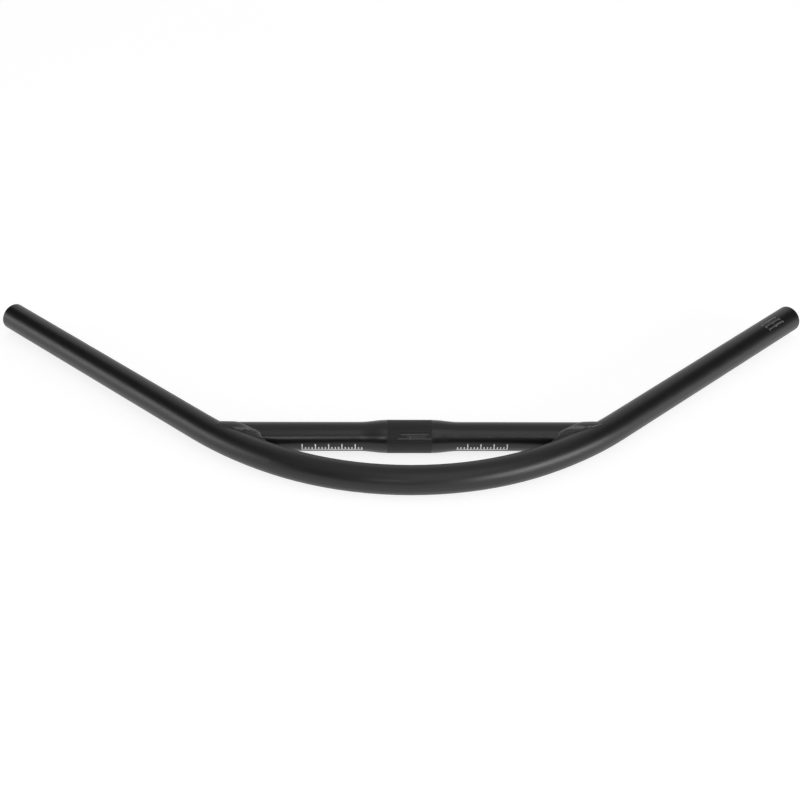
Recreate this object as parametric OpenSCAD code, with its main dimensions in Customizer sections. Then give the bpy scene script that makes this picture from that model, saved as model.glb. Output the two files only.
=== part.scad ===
// Loop handlebar for a bicycle: a wide swept bow with a straight cross tube
// coped and welded between its shoulders. The stem clamps the cross tube's
// bulged, knurled middle.
//
// Frame, millimetres: the origin is the middle of the clamp zone on the cross
// tube's axis. +X runs along the cross tube, -Y points to the front of the
// bow, +Y to the open grip ends, and +Z is up. Every tube axis lies in Z = 0.

/* [Tubes] */
// Outside diameter of the bow and of the cross tube's plain ends
tube_od = 22.2; // [21:0.1:23.8]
// Wall of both tubes
tube_wall = 2.3; // [1.5:0.1:3]
// Deburring chamfer on the rims of the grip ends
end_chamfer = 0.4; // [0.1:0.1:0.7]

/* [Bow] */
// From the clamp axis forwards to the bow's axis at the middle
bow_offset = 58; // [54:0.5:62]
// Bend radius of the wide front bend, at the tube's axis
front_bend_r = 204; // [195:1:215]
// Angle of the front bend on each side of the middle
front_bend_deg = 29.3; // [28:0.1:30.5]
// Bend radius of the gentler shoulder bends, at the tube's axis
shoulder_bend_r = 275; // [255:1:295]
// Angle that each grip arm sweeps back from the cross tube's direction
sweep_deg = 45; // [43:0.5:48]
// Straight length of each grip arm
arm_l = 244; // [180:1:280]

/* [Cross tube] */
// Diameter of the clamp zone
clamp_od = 25.4; // [24.6:0.1:28]
// Length of the parallel clamp zone
clamp_l = 34; // [28:1:50]
// Length of the smooth swage on each side of the clamp zone
swage_l = 21; // [10:0.5:24]
// Wall in the clamp zone
clamp_wall = 2.8; // [2:0.1:4]
// Fit-up gap between the coped ends and the bow
fit_gap = 0.05; // [0.03:0.01:0.2]

/* [Knurling] */
// Number of axial grooves round the clamp zone
knurl_count = 50; // [24:1:52]
// Depth of the V grooves, half their width
knurl_depth = 0.18; // [0.05:0.01:0.2]
// Plain ring left at each end of the knurling
knurl_end = 0.6; // [0.3:0.1:2]

/* [Weld beads] */
// How far a bead reaches along the cross tube, off the bow's wall
bead_leg = 5.8; // [4.5:0.1:7]
// The same reach in the narrow crotch in front
crotch_leg = 3.2; // [2.4:0.1:4]
// The same reach at the wide corner behind
back_leg = 4.4; // [3:0.1:6]
// How far a bead laps on to the top of the bow
bow_lap = 0.5; // [0.3:0.1:2.5]
// How far a bead runs on along the bow, behind the joint
back_run = 1; // [0.5:0.1:4]
// Height of a bead above the tubes, on top and in front
bead_h = 0.9; // [0.6:0.05:1.3]
// Height of a bead behind, where it is dressed flatter
back_h = 0.45; // [0.35:0.05:1.3]
// Depth of the bead's corner in the narrow crotch
crotch_fill = 1.5; // [1.3:0.1:2]
// Number of ripples round a bead
ripple_count = 36; // [24:1:44]
// Depth of the valleys between ripples
ripple_depth = 0.14; // [0:0.02:0.3]
// Depth of the crater where the welder stopped
crater_depth = 0.5; // [0:0.05:0.5]
// Crater's place on the left bead, round the cross tube from behind
crater_left_deg = 117; // [60:1:140]
// Crater's place on the right bead, round the cross tube from behind
crater_right_deg = 110; // [60:1:140]

/* [Hidden] */
satin_black = [0.10, 0.10, 0.105];
bead_black = [0.14, 0.14, 0.145];

tube_r = tube_od / 2;
bore_r = tube_r - tube_wall;
clamp_r = clamp_od / 2;
clamp_bore_r = clamp_r - clamp_wall;

// Bow axis: the arcs' centres, their tangent points and the joint
front_c = [0, front_bend_r - bow_offset];
front_end = front_c + front_bend_r * [sin(front_bend_deg), -cos(front_bend_deg)];
shoulder_c = front_end + shoulder_bend_r * [-sin(front_bend_deg), cos(front_bend_deg)];
arm_root = shoulder_c + shoulder_bend_r * [sin(sweep_deg), -cos(sweep_deg)];

// X, at a given Y, of the curve that runs beside the bow's axis, inset towards the loop
function arc_x(centre, radius, y) = centre.x + sqrt(max(radius * radius - pow(y - centre.y, 2), 0));
function bow_x(y, inset) =
    y < front_c.y - (front_bend_r - inset) * cos(front_bend_deg)
        ? arc_x(front_c, front_bend_r - inset, y)
    : y < shoulder_c.y - (shoulder_bend_r - inset) * cos(sweep_deg)
        ? arc_x(shoulder_c, shoulder_bend_r - inset, y)
    : arm_root.x - inset * sin(sweep_deg) + (y - arm_root.y - inset * cos(sweep_deg)) / tan(sweep_deg);

// Where the two axes cross, and the angle between them there
probe = 0.01;
joint_x = bow_x(0, 0);
joint_deg = atan2(probe, bow_x(probe, 0) - joint_x);

$fn = 96;

// Bow: half of the front bend, a shoulder bend and a straight arm, rods that are
// tangent end to end, joined to their mirror image in the plane X = 0

// Moves children in three finer and finer steps, so that no digit is lost
module place(point) {
    whole = [round(point.x), round(point.y), 0];
    fine = [round((point.x - whole.x) * 1000), round((point.y - whole.y) * 1000), 0] / 1000;
    translate(whole)
        translate(fine)
            translate([point.x - whole.x - fine.x, point.y - whole.y - fine.y, 0])
                children();
}

// One bend of a rod, between two directions counted from +X
module rod_bend(centre, bend_r, from_deg, to_deg, r) {
    place(centre)
        rotate_extrude(start = from_deg - 90, angle = to_deg - from_deg)
            translate([bend_r, 0])
                circle(r = r);
}

// Turns +Z to lie along the arm, in the arm's own frame
module along_arm() {
    rotate([0, 90, 0])
        rotate([0, 0, -90])
            children();
}

// Hair's breadth by which a bend runs on into its neighbour, so that they always fuse
lap_deg = 0.000002;

// Right half of a rod that follows the bow, in the frame of the arm: the root of
// the arm is the origin and the arm runs out along +X. It passes the middle a little.
module half_rod(r, extra) {
    past_middle_deg = 2;
    front_deg = front_bend_deg - sweep_deg;
    shoulder_at = [0, shoulder_bend_r];
    front_at = shoulder_at + (shoulder_bend_r - front_bend_r) * [sin(front_deg), -cos(front_deg)];
    rod_bend(front_at, front_bend_r, -sweep_deg - past_middle_deg, front_deg + lap_deg, r);
    rod_bend(shoulder_at, shoulder_bend_r, front_deg, lap_deg, r);
    along_arm()
        cylinder(r = r, h = arm_l + extra);
}

// Takes the arm's frame to its place on the bow and trims it at the middle
module right_half() {
    room = bow_offset * 3;
    difference() {
        place(arm_root)
            rotate([0, 0, sweep_deg])
                children();
        translate([-room, -room / 2, 0])
            cube([2 * room, 2 * room, room], center = true);
    }
}

module both_sides() {
    children();
    mirror([1, 0, 0])
        children();
}

// Cutters that chamfer both rims of an arm's open end
module rim_chamfers() {
    over = 1;
    inner_start = arm_l - end_chamfer - over;
    translate([0, 0, inner_start])
        cylinder(r1 = bore_r - over, r2 = bore_r + end_chamfer + over, h = end_chamfer + 2 * over);
    rotate_extrude()
        polygon([
            [tube_r - end_chamfer - over, arm_l + over],
            [tube_r + over, arm_l - end_chamfer - over],
            [tube_r + over, arm_l + over]
        ]);
}

module bow_tube() {
    past_end = 2;
    color(satin_black)
        both_sides()
            right_half()
                difference() {
                    half_rod(tube_r, 0);
                    half_rod(bore_r, past_end);
                    along_arm()
                        rim_chamfers();
                }
}

// Cross tube: a revolved profile whose ends are coped round the bow

// S-shaped swage between two radii, the first at the clamp zone
swage_steps = 12;
function swage(r0, r1) = [
    for (i = [0 : swage_steps])
        let (t = i / swage_steps)
        [r0 + (r1 - r0) * (1 - cos(180 * t)) / 2, clamp_l / 2 + swage_l * t]
];
function flip_ends(points) = [for (i = [len(points) - 1 : -1 : 0]) [points[i].x, -points[i].y]];

module cross_profile() {
    outer = swage(clamp_r, tube_r);
    inner = swage(clamp_bore_r, bore_r);
    half_outer = concat(outer, [[tube_r, joint_x]]);
    half_inner = concat([[bore_r, joint_x]], [for (i = [len(inner) - 1 : -1 : 0]) inner[i]]);
    polygon(concat(flip_ends(half_outer), half_outer, half_inner, flip_ends(half_inner)));
}

module knurl_grooves() {
    groove_side = knurl_depth * sqrt(2);
    for (i = [0 : knurl_count - 1])
        rotate([i * 360 / knurl_count, 0, 0])
            translate([0, 0, clamp_r])
                rotate([45, 0, 0])
                    cube([clamp_l - 2 * knurl_end, groove_side, groove_side], center = true);
}

module cross_tube() {
    color(satin_black)
        difference() {
            rotate([0, 90, 0])
                rotate_extrude()
                    cross_profile();
            knurl_grooves();
            both_sides()
                right_half()
                    half_rod(tube_r + fit_gap, 0);
        }
}

// Weld beads: a rippled fillet whose section runs round the coped joint.
// A station is an angle round the cross tube: 0 behind, 90 on top, 180 in the
// narrow crotch in front. At each station the section starts on the cross
// tube, climbs to the corner over the seam and comes down on the bow.

// Clearance that keeps a bead's underside just off the tubes
seat_gap = 0.03;
stations_per_ripple = 4;
station_count = ripple_count * stations_per_ripple;
crater_half_deg = 7;

// Station angles over which the section changes: the reach and the height behind, the
// reach in the crotch, the corner's depth, and from a rounded pad to a flat fillet
back_span = [15, 65];
rise_span = [45, 100];
crotch_span = [124, 152];
corner_span = [100, 170];
fillet_span = [110, 165];

function ease(span, x) = let (t = min(max((x - span[0]) / (span[1] - span[0]), 0), 1)) t * t * (3 - 2 * t);
function mix(a, b, t) = a + (b - a) * t;

// Angle from behind, the same above and below the tubes
function half_turn(angle) = acos(cos(angle));

// A point at the height "off_bow" over the bow and "off_cross" over the cross tube
function over_cross(angle, off_bow, off_cross) =
    let (
        y = (tube_r + off_cross) * cos(angle),
        z = (tube_r + off_cross) * sin(angle),
        inset = sqrt(max(pow(tube_r + off_bow, 2) - z * z, 0))
    )
    [bow_x(y, inset), y, z];

// A point at the height "off_bow" over the bow, moved along the bow and round it from the seam
function over_bow(angle, along, lap, off_bow) =
    let (
        side = sin(angle) < 0 ? -1 : 1,
        round_bow = asin(abs(sin(angle))) + lap / tube_r * 180 / PI,
        inset = (tube_r + off_bow) * cos(round_bow),
        y = tube_r * cos(angle) + (inset - tube_r * abs(cos(angle))) * cos(joint_deg) + along * sin(joint_deg)
    )
    [bow_x(y, inset), y, side * (tube_r + off_bow) * sin(round_bow)];

// Reach and corner depth of the bead at a station
function leg_at(angle) =
    let (a = half_turn(angle))
    mix(mix(back_leg, bead_leg, ease(back_span, a)), crotch_leg, ease(crotch_span, a));
function corner_at(angle) =
    let (a = half_turn(angle))
    mix(mix(back_h, bead_h, ease(rise_span, a)), crotch_fill, ease(corner_span, a));
function fill_at(angle) = mix(0.2, 0.8, ease(fillet_span, half_turn(angle)));

// Scalloped ripples, with the valley at every fourth station
function ripple_at(i) = ripple_depth * (1 - pow(abs(cos(180 * i / stations_per_ripple)), 0.7));
function crater_at(angle, crater_deg) =
    crater_depth * exp(-pow((angle - crater_deg) / crater_half_deg, 2));

// Height profile from the corner (0) to the toe (1): a rounded pad, or a flat fillet
function pad(t, fill) = mix(sqrt(1 - pow(t, 4)), 1 - t, fill);

cross_steps = [1, 0.93, 0.8, 0.58, 0.3, 0];
bow_steps = [0.3, 0.62, 0.88, 1];
under_steps = [0.66, 0.33];

function bead_section(i, angle, crater_deg) =
    let (
        leg = leg_at(angle),
        fill = fill_at(angle),
        sunk = ripple_at(i) + crater_at(angle, crater_deg),
        corner = max(corner_at(angle) - sunk, 3 * seat_gap),
        along_c = corner * (cos(angle) - cos(joint_deg) * abs(cos(angle))) / sin(joint_deg),
        run = cos(angle) > 0 ? back_run : crotch_leg / sin(joint_deg),
        along_t = cos(angle) * run,
        lap_t = bow_lap * pow(sin(angle), 2)
    )
    concat(
        [for (t = cross_steps)
            over_cross(angle, mix(corner, leg, t), max(corner * pad(t, fill), seat_gap))],
        [for (t = bow_steps)
            over_bow(angle, mix(along_c, along_t, t), lap_t * t, max(corner * pad(t, fill), seat_gap))],
        [for (t = under_steps)
            over_bow(angle, along_t * t, lap_t * t, seat_gap)],
        [over_cross(angle, seat_gap, seat_gap)]
    );

// Seam length against angle, so that the stations lie evenly along the seam
seam_step = 2;
seam_length = [
    for (
        a = 0, run = 0;
        a <= 360;
        run = run + norm(over_cross(a + seam_step, 0, 0) - over_cross(a, 0, 0)), a = a + seam_step
    )
    [run, a]
];
seam_total = seam_length[len(seam_length) - 1][0];

module weld_bead(crater_deg) {
    angles = [for (i = [0 : station_count - 1]) lookup(seam_total * i / station_count, seam_length)];
    sections = [for (i = [0 : station_count - 1]) bead_section(i, angles[i], crater_deg)];
    ring = len(sections[0]);
    points = [for (section = sections) for (point = section) point];
    faces = [
        for (i = [0 : station_count - 1])
            for (j = [0 : ring - 1])
                let (
                    here = i * ring,
                    next = ((i + 1) % station_count) * ring,
                    k = (j + 1) % ring
                )
                for (triangle = [[here + j, here + k, next + k], [here + j, next + k, next + j]])
                    triangle
    ];
    polyhedron(points = points, faces = faces);
}

module weld_left() {
    color(bead_black)
        mirror([1, 0, 0])
            weld_bead(crater_left_deg);
}

module weld_right() {
    color(bead_black)
        weld_bead(crater_right_deg);
}

bow_tube();
cross_tube();
weld_left();
weld_right();
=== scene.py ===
"""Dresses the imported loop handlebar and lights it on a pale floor, seen as in the photograph.

The bow tube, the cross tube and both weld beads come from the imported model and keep
their shapes. This script gives them their black finishes, prints plain tick scales on
the tubes, and adds the floor, the lights and the camera. All lengths are in metres.
"""

import logging
import math
from dataclasses import dataclass
from enum import Enum

import bpy
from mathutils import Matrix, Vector


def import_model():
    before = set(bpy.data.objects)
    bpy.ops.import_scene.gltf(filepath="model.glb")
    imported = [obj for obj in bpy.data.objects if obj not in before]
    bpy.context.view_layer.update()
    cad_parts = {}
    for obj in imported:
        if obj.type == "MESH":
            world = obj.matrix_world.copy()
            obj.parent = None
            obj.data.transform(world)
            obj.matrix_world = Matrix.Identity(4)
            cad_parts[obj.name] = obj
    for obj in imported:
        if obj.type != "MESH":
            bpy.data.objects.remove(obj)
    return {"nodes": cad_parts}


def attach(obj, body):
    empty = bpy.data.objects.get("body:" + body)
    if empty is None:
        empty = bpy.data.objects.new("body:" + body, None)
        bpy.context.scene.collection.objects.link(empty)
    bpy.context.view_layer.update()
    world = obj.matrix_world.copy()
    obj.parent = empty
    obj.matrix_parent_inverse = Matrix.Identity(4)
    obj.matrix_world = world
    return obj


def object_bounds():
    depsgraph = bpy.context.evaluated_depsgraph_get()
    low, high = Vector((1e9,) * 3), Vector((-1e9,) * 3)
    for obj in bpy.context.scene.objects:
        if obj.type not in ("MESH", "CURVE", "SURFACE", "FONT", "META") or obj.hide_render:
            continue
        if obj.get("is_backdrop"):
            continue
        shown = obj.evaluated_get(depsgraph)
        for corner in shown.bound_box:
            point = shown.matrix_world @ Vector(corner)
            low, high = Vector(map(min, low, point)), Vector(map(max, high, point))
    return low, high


LOG = logging.getLogger("handlebar")
MM = 0.001

# Finer layers of a noise: one for broad patches, one for the grain of a surface.
PATCH_LAYERS = 3.0
GRAIN_LAYERS = 2.0


class Slot(Enum):
    """The record's material slots that the prints belong to; each print keeps one, and nothing
    here reads it.
    """

    BOW = "bow"
    CROSS = "cross"


class Side(Enum):
    """Which way ticks stand from their base line, as a sign on the angle."""

    UP = -1
    DOWN = 1


# Shader helpers.


class Term:
    """One shader value, on which Python's operators add Math nodes."""

    def __init__(self, graph: "Graph", socket: bpy.types.NodeSocket) -> None:
        """Wraps an output socket of the graph."""
        self.graph = graph
        self.socket = socket

    def __add__(self, other: "Term | float") -> "Term":
        """Adds a term or a number."""
        return self.graph.math("ADD", self, other)

    __radd__ = __add__

    def __mul__(self, other: "Term | float") -> "Term":
        """Multiplies by a term or a number."""
        return self.graph.math("MULTIPLY", self, other)

    __rmul__ = __mul__

    def __sub__(self, other: "Term | float") -> "Term":
        """Takes away a term or a number."""
        return self.graph.math("SUBTRACT", self, other)

    def __rsub__(self, other: "Term | float") -> "Term":
        """Takes this term away from a number."""
        return self.graph.math("SUBTRACT", other, self)


class Graph:
    """The node graph of one material."""

    def __init__(self, name: str) -> None:
        """Makes a material with a Principled surface and nothing linked to it.

        Args:
            name: the material's name.
        """
        self.material = bpy.data.materials.new(name)
        self.material.use_nodes = True
        self.tree = self.material.node_tree
        self.tree.nodes.clear()
        self.surface = self.tree.nodes.new("ShaderNodeBsdfPrincipled")
        output = self.tree.nodes.new("ShaderNodeOutputMaterial")
        self.tree.links.new(self.surface.outputs["BSDF"], output.inputs["Surface"])

    def feed(self, socket: bpy.types.NodeSocket, value: object) -> None:
        """Links a term or a socket to an input, or sets a plain value on it.

        Args:
            socket: the input.
            value: the term, the socket or the plain value.
        """
        if isinstance(value, Term):
            value = value.socket
        if isinstance(value, bpy.types.NodeSocket):
            self.tree.links.new(value, socket)
        else:
            socket.default_value = value

    def node(self, kind: str, inputs: dict, **settings: object) -> bpy.types.Node:
        """Adds a node.

        Args:
            kind: the node's type.
            inputs: values or links by socket name or number.
            settings: the node's own properties, set before its sockets.

        Returns:
            The new node.
        """
        node = self.tree.nodes.new(kind)
        for key, value in settings.items():
            setattr(node, key, value)
        for key, value in inputs.items():
            self.feed(node.inputs[key], value)
        return node

    def math(self, operation: str, *values: "Term | float") -> Term:
        """Adds a Math node on terms and numbers."""
        node = self.node("ShaderNodeMath", dict(enumerate(values)), operation=operation)
        return Term(self, node.outputs[0])

    def place(self) -> bpy.types.NodeSocket:
        """Gives the point's place on the object, in metres."""
        return self.node("ShaderNodeTexCoord", {}).outputs["Object"]

    def axis(self, name: str) -> Term:
        """Gives one coordinate of the point's place."""
        split = self.node("ShaderNodeSeparateXYZ", {"Vector": self.place()})
        return Term(self, split.outputs[name])

    def distance(self, point: tuple) -> Term:
        """Gives the distance from a point on or near the object.

        Args:
            point: the point's place, in metres.

        Returns:
            The distance, in metres.
        """
        ends = {0: self.place(), 1: point}
        node = self.node("ShaderNodeVectorMath", ends, operation="DISTANCE")
        return Term(self, node.outputs["Value"])

    def noise(self, spot: float, layers: float) -> Term:
        """Adds a noise texture.

        Args:
            spot: size of its spots, in metres.
            layers: number of finer layers.

        Returns:
            The noise, from 0 to 1.
        """
        texture = self.node(
            "ShaderNodeTexNoise",
            {"Vector": self.place(), "Scale": 1.0 / spot, "Detail": layers},
        )
        return Term(self, texture.outputs["Fac"])

    def step(self, value: Term, low: float, high: float) -> Term:
        """Turns a value into a mask that rises smoothly.

        Args:
            value: the value to look at.
            low: where the mask is 0.
            high: where the mask is 1. It may lie below low.

        Returns:
            The mask.
        """
        node = self.node(
            "ShaderNodeMapRange",
            {"Value": value, "From Min": low, "From Max": high},
            interpolation_type="SMOOTHSTEP",
            clamp=True,
        )
        return Term(self, node.outputs["Result"])

    def blend(self, mask: Term, low: object, high: object) -> bpy.types.NodeSocket:
        """Mixes two colours by a mask.

        Args:
            mask: 0 for the first colour, 1 for the second.
            low: the first colour, as three numbers or a socket.
            high: the second colour, as three numbers or a socket.

        Returns:
            The mixed colour's socket.
        """
        ends = [(*end, 1.0) if isinstance(end, tuple) else end for end in (low, high)]
        node = self.node("ShaderNodeMix", {0: mask, 6: ends[0], 7: ends[1]}, data_type="RGBA")
        return node.outputs[2]

    def bump(self, height: Term, depth: float) -> None:
        """Feeds the surface's normal with a height map.

        Args:
            height: the height, from 0 to 1.
            depth: what a height of 1 stands for, in metres.
        """
        inputs = {"Height": height, "Distance": depth, "Strength": 1.0}
        node = self.node("ShaderNodeBump", inputs)
        self.feed(self.surface.inputs["Normal"], node.outputs["Normal"])

    def set(self, **values: object) -> None:
        """Sets or links sockets of the surface, named with underscores for spaces."""
        for key, value in values.items():
            self.feed(self.surface.inputs[key.replace("_", " ")], value)


# Finishes of the metal, the print and the floor.


@dataclass(frozen=True)
class BlastedBlack:
    """Black anodised aluminium that was blasted before the bath, with a satin sheen."""

    name: str
    low: tuple = (0.0055, 0.0055, 0.0057)
    high: tuple = (0.0085, 0.0085, 0.0088)
    roughness: float = 0.39
    roughness_swing: float = 0.07
    grain: float = 0.22 * MM
    grain_depth: float = 0.010 * MM
    grain_swing: float = 0.06
    cloud: float = 14 * MM
    specular: float = 0.5

    def base(self) -> tuple[Graph, Term, Term]:
        """Makes the graph with its colour and gives its roughness and height so far.

        Returns:
            The graph, the roughness term and the height term from 0 to 1.
        """
        graph = Graph(self.name)
        cloud = graph.noise(self.cloud, PATCH_LAYERS)
        fine = graph.noise(self.grain, GRAIN_LAYERS)
        least = self.roughness - (self.roughness_swing + self.grain_swing) / 2
        rough = cloud * self.roughness_swing + fine * self.grain_swing + least
        graph.set(
            Base_Color=graph.blend(cloud, self.low, self.high),
            Specular_IOR_Level=self.specular,
        )
        return graph, rough, fine

    def make(self) -> bpy.types.Material:
        """Builds the finish of a plain tube.

        Returns:
            The material.
        """
        graph, rough, height = self.base()
        graph.set(Roughness=rough)
        graph.bump(height, self.grain_depth)
        return graph.material


@dataclass(frozen=True)
class KnurledBlack(BlastedBlack):
    """The same finish, dulled by the knurling in the middle of the cross tube."""

    clamp_half: float = 17 * MM
    blur: float = 0.35 * MM
    knurl_roughness: float = 0.24
    knurl_grain: float = 1.4

    def make(self) -> bpy.types.Material:
        """Builds the finish with its rougher clamp zone.

        Returns:
            The material.
        """
        graph, rough, height = self.base()
        along = graph.math("ABSOLUTE", graph.axis("X"))
        start, end = self.clamp_half - self.blur, self.clamp_half + self.blur
        clamp = 1.0 - graph.step(along, start, end)
        graph.set(Roughness=rough + clamp * self.knurl_roughness)
        graph.bump(height * (clamp * self.knurl_grain + 1.0), self.grain_depth)
        return graph.material


@dataclass(frozen=True)
class BeadBlack:
    """Black anodised weld metal: lighter than the tubes, with a painted highlight on the toe and
    painted shade in the crater.

    The toe is the bead's edge on the cross tube. Its two radii are counted from that
    tube's axis, and its painted highlight lies only on the side that faces up and forward,
    where the light falls. A pair of edges gives the noise at which a patch begins and is whole.
    """

    name: str
    crater: tuple
    low: tuple = (0.012, 0.012, 0.0124)
    high: tuple = (0.028, 0.028, 0.029)
    # Painted highlight: the colour of the toe where light falls on it.
    toe: tuple = (0.130, 0.130, 0.132)
    # Painted shade: the colour of the crater's recess.
    pit: tuple = (0.003, 0.003, 0.003)
    roughness: float = 0.34
    pock: float = 0.9 * MM
    pock_depth: float = 0.16 * MM
    pock_swing: float = 0.16
    pock_height: float = 0.8
    grain: float = 0.225 * MM
    grain_swing: float = 0.06
    grain_height: float = 0.2
    toe_from: float = 11.50 * MM
    toe_to: float = 11.92 * MM
    # Where the lit side starts, in height and in depth: the painted highlight lies there.
    upper_side: tuple = (1 * MM, 6 * MM)
    front_side: tuple = (0.5 * MM, -2 * MM)
    crater_r: float = 2.6 * MM
    crater_floor: float = 0.35
    crater_roughness: float = 0.25
    crater_height: float = 0.8
    skin_edges: tuple = (0.35, 0.65)
    # Noise edges of the painted highlight on the toe, then of the painted shade in the crater.
    toe_highlight_edges: tuple = (0.25, 0.50)
    crater_edges: tuple = (0.62, 0.38)

    def toe_highlight_mask(self, graph: Graph) -> Term:
        """Finds the part of the toe that gets the painted highlight, on its lit side.

        Args:
            graph: the finish's graph.

        Returns:
            The mask, 1 on the pale part.
        """
        height = graph.axis("Z")
        depth = graph.axis("Y")
        from_axis = graph.math("SQRT", height * height + depth * depth)
        lit_side = graph.step(height, *self.upper_side) * graph.step(depth, *self.front_side)
        return lit_side * (1.0 - graph.step(from_axis, self.toe_from, self.toe_to))

    def make(self) -> bpy.types.Material:
        """Builds the finish.

        Returns:
            The material.
        """
        graph = Graph(self.name)
        pock = graph.noise(self.pock, PATCH_LAYERS)
        fine = graph.noise(self.grain, GRAIN_LAYERS)
        toe = self.toe_highlight_mask(graph)
        from_crater = graph.distance(self.crater)
        # The crater mask; the colour it brings in below is painted shade.
        pit = 1.0 - graph.step(from_crater, self.crater_r * self.crater_floor, self.crater_r)
        skin = graph.blend(graph.step(pock, *self.skin_edges), self.low, self.high)
        # The pale toe is a painted highlight, on the side that faces up and forward.
        skin_and_toe_highlight = graph.blend(toe * graph.step(pock, *self.toe_highlight_edges), skin, self.toe)
        # The dark crater is painted shade in the recess.
        crater_shade = pit * graph.step(pock, *self.crater_edges)
        least = self.roughness - (self.pock_swing + self.grain_swing) / 2
        uneven = pock * self.pock_swing + fine * self.grain_swing
        graph.set(
            Base_Color=graph.blend(crater_shade, skin_and_toe_highlight, self.pit),
            Roughness=uneven + pit * self.crater_roughness + least,
        )
        relief = pock * self.pock_height + fine * self.grain_height - pit * self.crater_height
        graph.bump(relief, self.pock_depth)
        return graph.material


@dataclass(frozen=True)
class Print:
    """Screen-printed paint, thin enough to show the blasted grain below. The centre mark's
    painted ridge glints are made in it too.
    """

    name: str
    colour: tuple
    worn: tuple
    roughness: float = 0.5
    patch: float = 1.1 * MM
    cover_edges: tuple = (0.30, 0.52)
    grain: float = 0.22 * MM
    grain_depth: float = 0.006 * MM
    grain_swing: float = 0.12

    def make(self) -> bpy.types.Material:
        """Builds the finish, a little uneven in its cover.

        Returns:
            The material.
        """
        graph = Graph(self.name)
        cover = graph.step(graph.noise(self.patch, PATCH_LAYERS), *self.cover_edges)
        fine = graph.noise(self.grain, GRAIN_LAYERS)
        least = self.roughness - self.grain_swing / 2
        graph.set(
            Base_Color=graph.blend(cover, self.worn, self.colour),
            Roughness=fine * self.grain_swing + least,
        )
        graph.bump(fine, self.grain_depth)
        return graph.material


@dataclass(frozen=True)
class PaleFloor:
    """Plain white studio table, lit from within so that shadows on it stay faint."""

    name: str
    low: tuple = (0.33, 0.33, 0.33)
    high: tuple = (0.36, 0.36, 0.36)
    cloud: float = 0.3
    roughness: float = 0.9
    specular: float = 0.1
    glow_colour: tuple = (1.0, 1.0, 1.0, 1.0)
    glow: float = 0.82

    def make(self) -> bpy.types.Material:
        """Builds the finish.

        Returns:
            The material.
        """
        graph = Graph(self.name)
        cloud = graph.noise(self.cloud, GRAIN_LAYERS)
        graph.set(
            Base_Color=graph.blend(cloud, self.low, self.high),
            Roughness=self.roughness,
            Specular_IOR_Level=self.specular,
            Emission_Color=self.glow_colour,
            Emission_Strength=self.glow,
        )
        return graph.material


# Mesh helpers.


def deselect() -> None:
    """Leaves edit mode and deselects every object."""
    if bpy.context.object and bpy.context.object.mode == "EDIT":
        bpy.ops.object.mode_set(mode="OBJECT")
    bpy.ops.object.select_all(action="DESELECT")


def apply_modifiers(piece: bpy.types.Object) -> None:
    """Applies every modifier of a piece, in order.

    Args:
        piece: the piece.
    """
    bpy.context.view_layer.objects.active = piece
    for modifier in list(piece.modifiers):
        bpy.ops.object.modifier_apply(modifier=modifier.name)


def join(pieces: list[bpy.types.Object], name: str) -> bpy.types.Object:
    """Joins pieces to one object.

    Args:
        pieces: the objects to join.
        name: the name of the result.

    Returns:
        The joined object.
    """
    deselect()
    for piece in pieces:
        piece.select_set(True)
    bpy.context.view_layer.objects.active = pieces[0]
    bpy.ops.object.join()
    pieces[0].name = name
    pieces[0].data.name = name
    return pieces[0]


# Prints that lie round a tube.


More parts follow.
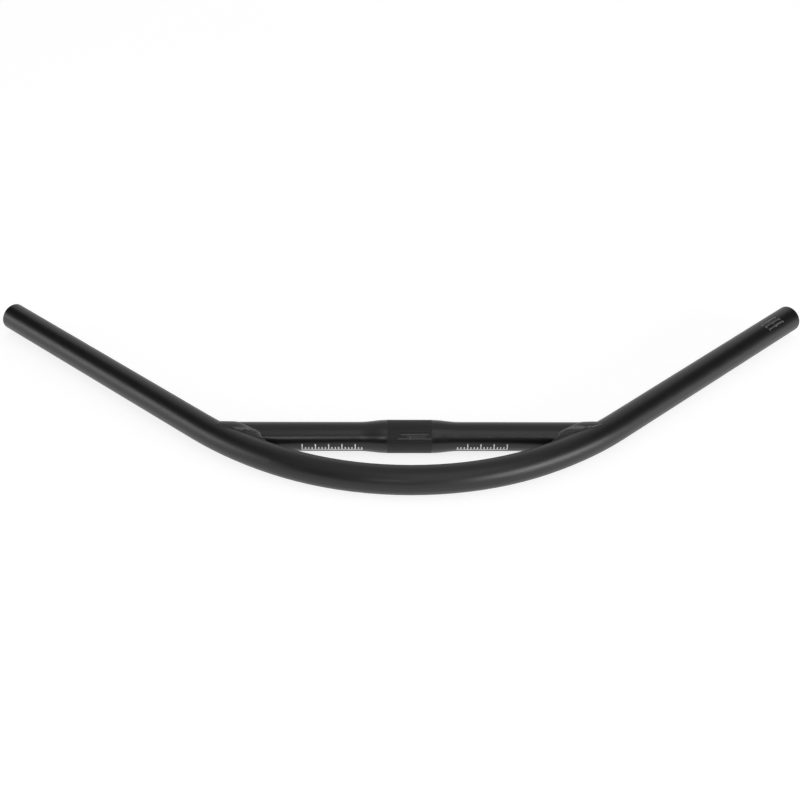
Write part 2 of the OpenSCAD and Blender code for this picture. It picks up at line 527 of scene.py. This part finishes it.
@dataclass(kw_only=True)
class TubePrint:
    """A print of plain lines and ticks that lies round a tube, or painted glints laid the same
    way.

    Angles go round the tube from its rear side (0 degrees) over its top (90 degrees).
    Lengths along the tube are counted from its origin.
    """

    name: str
    tube_r: float
    base_deg: float
    side: Side
    long_deg: float
    tick_w: float
    line_w: float
    finish: Print
    slot: Slot
    origin: tuple = (0.0, 0.0, 0.0)
    turn_deg: float = 0.0
    film: float = 0.03 * MM
    proud: float = 0.01 * MM
    segments: int = 180

    def arc(self, start: float, end: float, from_deg: float, to_deg: float) -> bpy.types.Object:
        """Cuts a short arc out of a ring round the tube.

        Args:
            start: where the arc starts along the tube.
            end: where it ends along the tube.
            from_deg: its first angle.
            to_deg: its last angle.

        Returns:
            The arc as an open sheet.
        """
        middle = ((start + end) / 2, 0.0, 0.0)
        deselect()
        bpy.ops.mesh.primitive_cylinder_add(
            vertices=self.segments,
            radius=self.tube_r + self.proud,
            depth=end - start,
            end_fill_type="NOTHING",
            location=middle,
            rotation=(0.0, math.pi / 2, 0.0),
        )
        piece = bpy.context.object
        bpy.ops.object.transform_apply(location=True, rotation=True, scale=True)
        bpy.ops.object.mode_set(mode="EDIT")
        for angle, turn in ((from_deg, 90.0), (to_deg, -90.0)):
            facing = math.radians(angle + turn)
            bpy.ops.mesh.select_all(action="SELECT")
            bpy.ops.mesh.bisect(
                plane_co=middle,
                plane_no=(0.0, math.cos(facing), math.sin(facing)),
                clear_inner=True,
            )
        bpy.ops.object.mode_set(mode="OBJECT")
        return piece

    def tick(self, at: float, from_deg: float, to_deg: float) -> bpy.types.Object:
        """Makes one tick across the tube between two angles, in either order."""
        half = self.tick_w / 2
        return self.arc(at - half, at + half, min(from_deg, to_deg), max(from_deg, to_deg))

    def line(self, start: float, end: float, angle: float) -> bpy.types.Object:
        """Makes one line along the tube, at an angle round it."""
        half = self.half_line_deg()
        return self.arc(start, end, angle - half, angle + half)

    def half_line_deg(self) -> float:
        """Gives half the width of a line along the tube, as an angle."""
        return math.degrees(self.line_w / 2 / self.tube_r)

    def pieces(self) -> list[bpy.types.Object]:
        """Makes the print's lines and ticks as open sheets, which each kind does its own way."""
        raise NotImplementedError

    def build(self) -> bpy.types.Object:
        """Joins the lines and ticks, thickens the film and lays it on its tube.

        Returns:
            The finished print.
        """
        piece = join(self.pieces(), self.name)
        film = piece.modifiers.new("film", "SOLIDIFY")
        film.thickness = self.film
        film.offset = 1.0
        apply_modifiers(piece)
        piece.rotation_euler = (0.0, 0.0, math.radians(self.turn_deg))
        piece.location = self.origin
        deselect()
        piece.select_set(True)
        bpy.context.view_layer.objects.active = piece
        bpy.ops.object.transform_apply(location=True, rotation=True, scale=True)
        piece.data.materials.clear()
        piece.data.materials.append(self.finish.make())
        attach(piece, "root")
        return piece


@dataclass(kw_only=True)
class TickScale(TubePrint):
    """A row of long and short ticks, with or without a base line."""

    start: float
    pitch: float
    count: int
    short_deg: float
    long_every: int

    def row(self, first: int, every: int, length_deg: float) -> bpy.types.Object:
        """Repeats one tick along the tube.

        Args:
            first: number of the row's first tick.
            every: how many ticks lie from one to the next.
            length_deg: each tick's length round the tube.

        Returns:
            The row as one object.
        """
        foot = self.base_deg + self.side.value * self.half_line_deg()
        tip = self.base_deg + self.side.value * length_deg
        tick = self.tick(self.start + first * self.pitch, foot, tip)
        array = tick.modifiers.new("repeat", "ARRAY")
        array.use_relative_offset = False
        array.use_constant_offset = True
        array.constant_offset_displace = (every * self.pitch, 0.0, 0.0)
        array.count = (self.count - 1 - first) // every + 1
        apply_modifiers(tick)
        return tick

    def pieces(self) -> list[bpy.types.Object]:
        """Makes the long ticks, the short ticks between them and the base line.

        Returns:
            The rows and the line as open sheets.
        """
        made = [self.row(0, self.long_every, self.long_deg)]
        for first in range(1, self.long_every):
            made.append(self.row(first, self.long_every, self.short_deg))
        if self.line_w > 0:
            half = self.tick_w / 2
            last = self.start + (self.count - 1) * self.pitch
            made.append(self.line(self.start - half, last + half, self.base_deg))
        return made


@dataclass(kw_only=True)
class CentreTickAndGlints(TubePrint):
    """The bar's middle: a printed centre tick, and lines along the clamp zone that are painted
    highlights for the glints on the knurl ridges.

    Each line is given by its angle and its two ends. A line that the tick crosses is
    parted there, because sheets that cross would leave faces inside the film.
    """

    lines: tuple
    tick_at: float
    parting: float = 0.03 * MM

    def pieces(self) -> list[bpy.types.Object]:
        """Makes the tick and the lines.

        Returns:
            The tick and the lines as open sheets.
        """
        tip = self.base_deg + self.side.value * self.long_deg
        low, high = sorted((self.base_deg, tip))
        half_line = self.half_line_deg()
        half_gap = self.tick_w / 2 + self.parting
        left_end, right_end = self.tick_at - half_gap, self.tick_at + half_gap
        made = [self.tick(self.tick_at, low, high)]
        for angle, start, end in self.lines:
            spans = [(start, end)]
            if low - half_line < angle < high + half_line:
                spans = [(start, left_end), (right_end, end)]
            made += [self.line(*span, angle) for span in spans]
        return made


# The handlebar.


@dataclass
class Handlebar:
    """The bar's own pieces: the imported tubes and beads, and what is printed on them.

    The right arm starts at its root and runs straight to its end at the sweep angle.
    """

    tube_r: float = 11.1 * MM
    clamp_r: float = 12.7 * MM
    arm_root: tuple = (159.708 * MM, 13.463 * MM, 0.0)
    sweep_deg: float = 45.0
    crater_left: tuple = (-124.3 * MM, -6.6 * MM, 9.9 * MM)
    crater_right: tuple = (133.2 * MM, -4.0 * MM, 10.8 * MM)
    end_rows_deg: tuple = (88.0, 106.0, 124.0)
    end_rows_at: float = 199.0 * MM
    end_rows_shift: float = 1.5 * MM

    def dress_tubes(self, nodes: dict[str, bpy.types.Object]) -> None:
        """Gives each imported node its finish.

        Args:
            nodes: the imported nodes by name.
        """
        cross_finish = KnurledBlack("cross_black", roughness=0.29, roughness_swing=0.05)
        finishes = {
            "bow_tube": BlastedBlack("bow_black").make(),
            "cross_tube": cross_finish.make(),
            "weld_left": BeadBlack("bead_left_black", self.crater_left).make(),
            "weld_right": BeadBlack("bead_right_black", self.crater_right).make(),
        }
        for name, material in finishes.items():
            for slot in nodes[name].material_slots:
                slot.material = material
            LOG.info("%s wears %s", name, material.name)

    def cross_scales(self) -> list[TubePrint]:
        """Lays out the white scale on each side of the clamp zone.

        Returns:
            The left and the right scale.
        """
        white = Print("scale_white", colour=(0.80, 0.80, 0.80), worn=(0.42, 0.42, 0.42))
        shared = dict(
            tube_r=self.tube_r,
            pitch=2.5 * MM,
            base_deg=208.0,
            side=Side.UP,
            short_deg=15.0,
            long_deg=30.0,
            long_every=4,
            tick_w=0.9 * MM,
            line_w=0.8 * MM,
            finish=white,
            slot=Slot.CROSS,
        )
        return [
            TickScale(name="scale_left", start=-81 * MM, count=21, **shared),
            TickScale(name="scale_right", start=34 * MM, count=17, **shared),
        ]

    def end_scales(self) -> list[TubePrint]:
        """Lays out the grey rows near the right end, each a little farther along.

        Returns:
            The rows, from the rear one to the front one.
        """
        grey = Print(
            "scale_grey", colour=(0.26, 0.26, 0.26), worn=(0.10, 0.10, 0.10), roughness=0.45
        )
        return [
            TickScale(
                name=f"end_scale_{number + 1}",
                tube_r=self.tube_r,
                start=self.end_rows_at + number * self.end_rows_shift,
                pitch=2.0 * MM,
                count=11,
                base_deg=angle,
                side=Side.DOWN,
                short_deg=7.0,
                long_deg=11.0,
                long_every=5,
                tick_w=0.9 * MM,
                line_w=0.0,
                finish=grey,
                slot=Slot.BOW,
                origin=self.arm_root,
                turn_deg=self.sweep_deg,
            )
            for number, angle in enumerate(self.end_rows_deg)
        ]

    def centre_tick_and_glints(self) -> TubePrint:
        """Lays out the printed centre tick and the painted ridge glints in the middle of the
        clamp zone.

        Returns:
            The mark.
        """
        return CentreTickAndGlints(
            name="centre_tick_and_glints",
            tube_r=self.clamp_r,
            base_deg=146.5,
            side=Side.DOWN,
            long_deg=11.0,
            tick_w=0.55 * MM,
            line_w=0.40 * MM,
            # Grey for the printed tick and for the painted ridge glints.
            finish=Print("tick_and_glint_grey", colour=(0.100, 0.100, 0.100), worn=(0.070, 0.070, 0.070)),
            slot=Slot.CROSS,
            # These lines are painted highlights: glints of light on the knurl ridges, not print.
            lines=(
                (141.3, -6.5 * MM, 14.0 * MM),
                (148.3, -2.5 * MM, 12.0 * MM),
                (155.3, -9.0 * MM, 16.3 * MM),
            ),
            tick_at=0.4 * MM,
        )

    def print_scales(self) -> None:
        """Prints every scale, the centre tick and the painted ridge glints on the tubes."""
        for layout in [*self.cross_scales(), *self.end_scales(), self.centre_tick_and_glints()]:
            piece = layout.build()
            LOG.info("%s has %d faces", piece.name, len(piece.data.polygons))


# Floor, lights and camera.


@dataclass(frozen=True)
class Softbox:
    """An evenly bright rectangle of light."""

    name: str
    at: tuple
    aim: tuple
    size: tuple
    radiance: float

    def hang(self) -> None:
        """Puts the softbox in its place, with the power that its brightness asks for."""
        data = bpy.data.lights.new(self.name, "AREA")
        data.shape = "RECTANGLE"
        data.size, data.size_y = self.size
        data.energy = self.radiance * math.pi * self.size[0] * self.size[1]
        lamp = bpy.data.objects.new(self.name, data)
        lamp.location = self.at
        beam = Vector(self.aim) - Vector(self.at)
        lamp.rotation_euler = beam.to_track_quat("-Z", "Y").to_euler()
        bpy.context.scene.collection.objects.link(lamp)


SOFTBOXES = (
    Softbox("top_rear", (0.15, 0.85, 2.0), (0.15, 0.85, 0.0), (2.5, 2.3), 0.58),
    Softbox("top_front_left", (-1.13, -1.15, 2.0), (-1.13, -1.15, 0.0), (1.74, 1.7), 0.42),
    Softbox("top_front_right", (0.70, -1.20, 2.0), (0.70, -1.20, 0.0), (1.92, 1.8), 1.20),
    Softbox("rear_wall", (0.15, 2.30, 1.05), (0.15, 0.0, 1.05), (3.0, 2.1), 0.75),
    Softbox("right_strip", (2.02, -1.46, 0.40), (0.0, 0.0, 0.40), (2.2, 0.78), 8.5),
    Softbox("left_strip", (-2.47, -0.35, 0.45), (0.0, 0.0, 0.45), (1.9, 0.86), 3.6),
    Softbox("front_left", (-0.17, -1.25, 0.60), (-0.17, 0.0, 0.30), (0.16, 0.36), 7.5),
    Softbox("front_right", (0.31, -1.25, 0.88), (0.31, 0.0, 0.30), (0.16, 0.34), 4.5),
)


@dataclass
class Studio:
    """Floor, lights and camera."""

    floor_z: float
    floor_size: float = 80.0
    floor_cells: int = 8
    camera_at: tuple = (-0.0394, -1.02705, 0.67517)
    camera_deg: tuple = (57.9794, -0.8823, -1.2274)
    lens_mm: float = 72.78
    sensor_mm: float = 36.0
    camera_reach: float = 50.0
    world_grey: float = 0.01

    def lay_floor(self) -> None:
        """Lays the floor under the bar, wide enough to reach the horizon."""
        deselect()
        bpy.ops.mesh.primitive_grid_add(
            x_subdivisions=self.floor_cells,
            y_subdivisions=self.floor_cells,
            size=self.floor_size,
            location=(0.0, 0.0, self.floor_z),
        )
        floor = bpy.context.object
        floor.name = "floor"
        bpy.ops.object.transform_apply(location=True, rotation=True, scale=True)
        floor.data.materials.append(PaleFloor("floor_pale").make())
        floor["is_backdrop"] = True

    def light(self) -> None:
        """Lights the bar with strips at both sides and panels above and behind it."""
        world = bpy.data.worlds.new("studio")
        world.use_nodes = True
        grey = self.world_grey
        background = world.node_tree.nodes["Background"]
        background.inputs["Color"].default_value = (grey, grey, grey, 1.0)
        background.inputs["Strength"].default_value = 1.0
        bpy.context.scene.world = world
        for softbox in SOFTBOXES:
            softbox.hang()

    def place_camera(self) -> None:
        """Sets the camera where the photograph was taken from."""
        data = bpy.data.cameras.new("camera")
        data.sensor_width = self.sensor_mm
        data.lens = self.lens_mm
        data.clip_end = self.camera_reach
        camera = bpy.data.objects.new("camera", data)
        camera.location = self.camera_at
        camera.rotation_euler = tuple(math.radians(angle) for angle in self.camera_deg)
        bpy.context.scene.collection.objects.link(camera)
        bpy.context.scene.camera = camera


def main() -> None:
    """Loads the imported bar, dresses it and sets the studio."""
    logging.basicConfig(level=logging.INFO, format="%(name)s: %(message)s")
    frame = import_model()
    cad_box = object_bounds()
    bar = Handlebar()
    bar.dress_tubes(frame["nodes"])
    bar.print_scales()
    studio = Studio(floor_z=cad_box[0][2])
    studio.lay_floor()
    studio.light()
    studio.place_camera()
    bpy.context.scene.view_settings.view_transform = "Standard"


if __name__ == "__main__":
    main()
